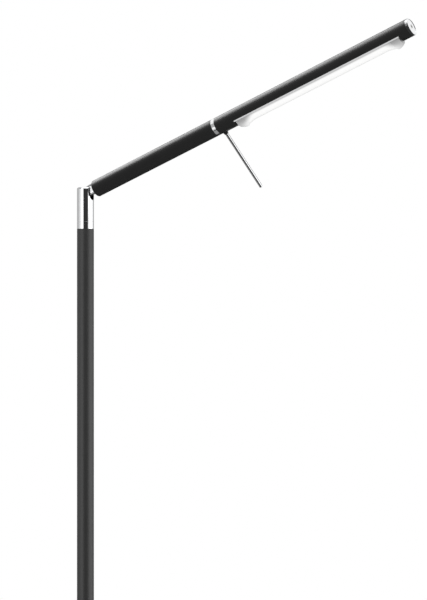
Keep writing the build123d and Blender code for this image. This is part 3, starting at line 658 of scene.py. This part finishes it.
def make_lens():
    """The opal shell: a half-elliptic trough, flared where it meets the end blocks."""
    flare_end = lens_start + FLARE_LENGTH
    flare_start = lens_stop - FLARE_LENGTH
    stations = [lens_start] + spaced(lens_start, flare_end, FLARE_STEPS)
    stations += spaced(flare_end, flare_start, MIDDLE_STEPS) + spaced(flare_start, lens_stop, FLARE_STEPS)
    rings = []
    for station in stations:
        nearest = min(station - lens_start, lens_stop - station)
        crown = LENS_FLARE - (LENS_FLARE - LENS_CROWN) * ease(nearest / FLARE_LENGTH)
        outer = section(station, crown, LENS_HALF)
        inner = section(station, crown, LENS_HALF, LENS_WALL)
        rings.append(outer + inner[::-1])
    made, rows = skinned(rings)
    count = len(rows[0])
    for row in (rows[0], rows[-1]):
        for index in range(SECTION_STEPS):
            made.faces.new((row[index], row[index + 1], row[count - 2 - index], row[count - 1 - index]))
    finish_piece("opal_lens", made, "light_cover", edge=0.2 * MM)


def make_end_block(name, node, at_tip):
    """A frosted end: rises from its foot to a crest, then falls to meet the lens."""
    near, far = reach(node, pin, along)
    foot, stop = (far, near) if at_tip else (near, far)
    top = reach(node, pin, window_way)[1]
    meet = LENS_FLARE + BLOCK_MEET
    rings = []
    for step in range(BLOCK_STEPS + 1):
        share = step / BLOCK_STEPS
        if share < BLOCK_CREST:
            crown = BLOCK_TIP + (top - BLOCK_TIP) * sin(0.5 * pi * share / BLOCK_CREST)
        else:
            crown = meet + (top - meet) * cos(0.5 * pi * (share - BLOCK_CREST) / (1 - BLOCK_CREST))
        rings.append(section(foot + share * (stop - foot), crown, BLOCK_HALF))
    made, rows = skinned(rings)
    made.faces.new(rows[0])
    made.faces.new(rows[-1])
    finish_piece(name, made, node, edge=0.35 * MM)


# ---------------------------------------------------------------- the lamp
cad_edges = {"hinge_fork": 0.1 * MM, "hinge_knuckle": 0.15 * MM, "head_tube": 0.2 * MM,
             "cover_frame": 0.3 * MM, "tilt_screw": 0.2 * MM}
for node, edge in cad_edges.items():
    soften(nodes[node], edge)
nodes["head_tube"].data.materials[0] = arm_paint
# the slot of the fork and the eye of the knuckle get painted shade on their chrome
nodes["hinge_fork"].data.materials[0] = polished_chrome("chrome_fork_shaded_slot", fork_slot_shade)
nodes["hinge_knuckle"].data.materials[0] = polished_chrome("chrome_knuckle_shaded_eye", knuckle_eye_shade)

make_stand()
make_arm()
make_end_cap()
make_handle()
make_lens()
make_end_block("frosted_end_inner", "cover_end_inner", at_tip=False)
make_end_block("frosted_end_outer", "cover_end_outer", at_tip=True)


# ---------------------------------------------------------------- floor
FLOOR_R = 1.3
FADE_START = 0.3 * FLOOR_R
FADE_END = 0.98 * FLOOR_R


def make_floor():
    """A pale disc that fades out before its rim."""
    mesh = bpy.data.meshes.new("floor")
    disc = bmesh.new()
    bmesh.ops.create_circle(disc, cap_ends=True, segments=128, radius=FLOOR_R)
    disc.to_mesh(mesh)
    disc.free()
    floor = bpy.data.objects.new("floor", mesh)
    bpy.context.scene.collection.objects.link(floor)
    pale, tree, shader = new_material("floor_pale")
    place = tree.place()
    radius = tree.distance(tree.dot(place, (1, 0, 0)), tree.dot(place, (0, 1, 0)))
    tree.feed(shader["Base Color"], tree.blend(tree.noise(3, 2.0), grey(0.78), grey(0.82)))
    shader["Roughness"].default_value = 0.7
    tree.feed(shader["Alpha"], tree.ramp(radius, FADE_START, FADE_END, 1.0, 0.0))
    mesh.materials.append(pale)
    # the lamp's polished parts mirror the studio, not the floor
    floor.visible_glossy = False


make_floor()


# ---------------------------------------------------------------- studio
BACKDROP = grey(1.0)
FILL = grey(0.75)  # what matt surfaces are lit with, evenly from all round
ROOM_DARK = 0.035  # in front of the lamp and below it
ROOM_LIGHT = 0.46  # how much brighter the room is behind the lamp
ROOM_SIDES = (84, 104)  # azimuths between which the room brightens, in degrees
ROOM_LEVELS = (-16, -6)  # elevations between which it brightens


def light_world():
    """A white backdrop, seen by the camera only, and the dim room that everything else sees."""
    world = bpy.data.worlds.new("studio")
    bpy.context.scene.world = world
    tree = Tree(world)
    degrees = 180 / pi
    direction = tree.nodes.new("ShaderNodeTexCoord").outputs["Generated"]
    azimuth = tree.math("ARCTAN2", tree.dot(direction, image_right), tree.dot(direction, -image_depth))
    azimuth = tree.math("MULTIPLY", azimuth, degrees)
    elevation = tree.math("MULTIPLY", tree.math("ARCSINE", tree.dot(direction, up)), degrees)
    aside = tree.ramp(tree.math("ABSOLUTE", azimuth), *ROOM_SIDES)
    level = tree.ramp(elevation, *ROOM_LEVELS)
    room = tree.math("MULTIPLY_ADD", tree.math("MULTIPLY", aside, level), ROOM_LIGHT, ROOM_DARK)
    ray = tree.nodes.new("ShaderNodeLightPath").outputs
    # matt surfaces are filled evenly, and the polished ones mirror the room
    light = tree.blend(ray["Is Diffuse Ray"], tree.blend(room, grey(0.0), grey(1.0)), FILL)
    tree.feed(tree.nodes["Background"].inputs["Color"], tree.blend(ray["Is Camera Ray"], light, BACKDROP))
    world.cycles.sampling_method = "NONE"


USUAL = 3.0  # distances of the lights from the hinge
NEAR = 0.9
FAR = 12


def softbox(name, azimuth, elevation, width, height, radiance, lit=None, distance=USUAL):
    """An area light that faces the hinge. Its place and its size are angles in degrees, as the hinge
    sees them: azimuth 0 is towards the viewer, and more is to the right. Where `lit` names pieces, it
    lights only those, as a studio light does behind flags."""
    light = bpy.data.lights.new(name, "AREA")
    light.shape = "RECTANGLE"
    light.size = 2 * distance * tan(radians(width / 2))
    light.size_y = 2 * distance * tan(radians(height / 2))
    light.energy = radiance * pi * light.size * light.size_y
    lamp = bpy.data.objects.new(name, light)
    bpy.context.scene.collection.objects.link(lamp)
    turn, rise = radians(azimuth), radians(elevation)
    way = cos(rise) * (cos(turn) * -image_depth + sin(turn) * image_right) + sin(rise) * up
    lamp.location = pin + distance * way
    lamp.rotation_euler = way.to_track_quat("Z", "Y").to_euler()
    lamp.visible_camera = False
    if lit:
        group = bpy.data.collections.new(name + "_lights")
        for piece in lit:
            group.objects.link(bpy.data.objects[piece])
        lamp.light_linking.receiver_collection = group


upright = ["foot_plate", "foot_pad", "foot_collar", "lower_pole", "upper_pole", "chrome_ring",
           "hinge_fork", "hinge_knuckle", "tilt_screw", "inlet_gland"]
knuckle = ["hinge_knuckle"]
ring = ["chrome_roll_ring"]
cap = ["chrome_end_cap", "cap_screw"]
rod = ["chrome_handle"]
light_world()
softbox("box_left", -42, -8, 34, 44, 1.4, upright)
softbox("box_left_side", -67, -8, 15, 44, 0.95, upright)
softbox("box_left_edge", -86, -8, 22, 44, 0.65, upright)
softbox("box_right_edge", 45, -8, 14, 44, 0.8, upright + rod)
softbox("box_right", 75, -8, 46, 44, 1.8, upright + rod)
softbox("box_right_side", 108, -8, 20, 44, 0.82, upright + rod)
softbox("knuckle_low", -45, -50, 70, 50, 0.3, knuckle, distance=1.0)
softbox("knuckle_floor", -120, -78, 80, 80, 0.15, knuckle, distance=NEAR)
softbox("box_front", 0, 52, 110, 58, 1.0, upright)
softbox("strip_arm", -127, 36, 48, 26, 4.8, ["arm_sleeve"])
softbox("strip_head", -125, 44, 56, 30, 4.7, ["head_tube", "handle_ferrule"])
softbox("ring_low", -52, -30, 44, 34, 0.55, ring, distance=FAR)
softbox("ring_bright", -53, -24, 30, 22, 0.45, ring, distance=FAR)
softbox("ring_middle", -68, 12, 60, 56, 0.42, ring, distance=FAR)
softbox("ring_behind", -125, 38, 84, 40, 0.55, ring, distance=FAR)
softbox("ring_floor", -90, -76, 66, 66, 0.26, ring, distance=NEAR)
softbox("cap_side", -97, 38, 44, 34, 0.7, cap, distance=FAR)
softbox("cap_turn", -68, 18, 30, 34, 0.2, cap, distance=FAR)
softbox("rod_floor", -90, -76, 60, 60, 0.3, rod, distance=NEAR)
softbox("cap_behind", 138, 22, 60, 44, 0.5, cap)
softbox("box_above", 0, 88, 60, 60, 1.2)
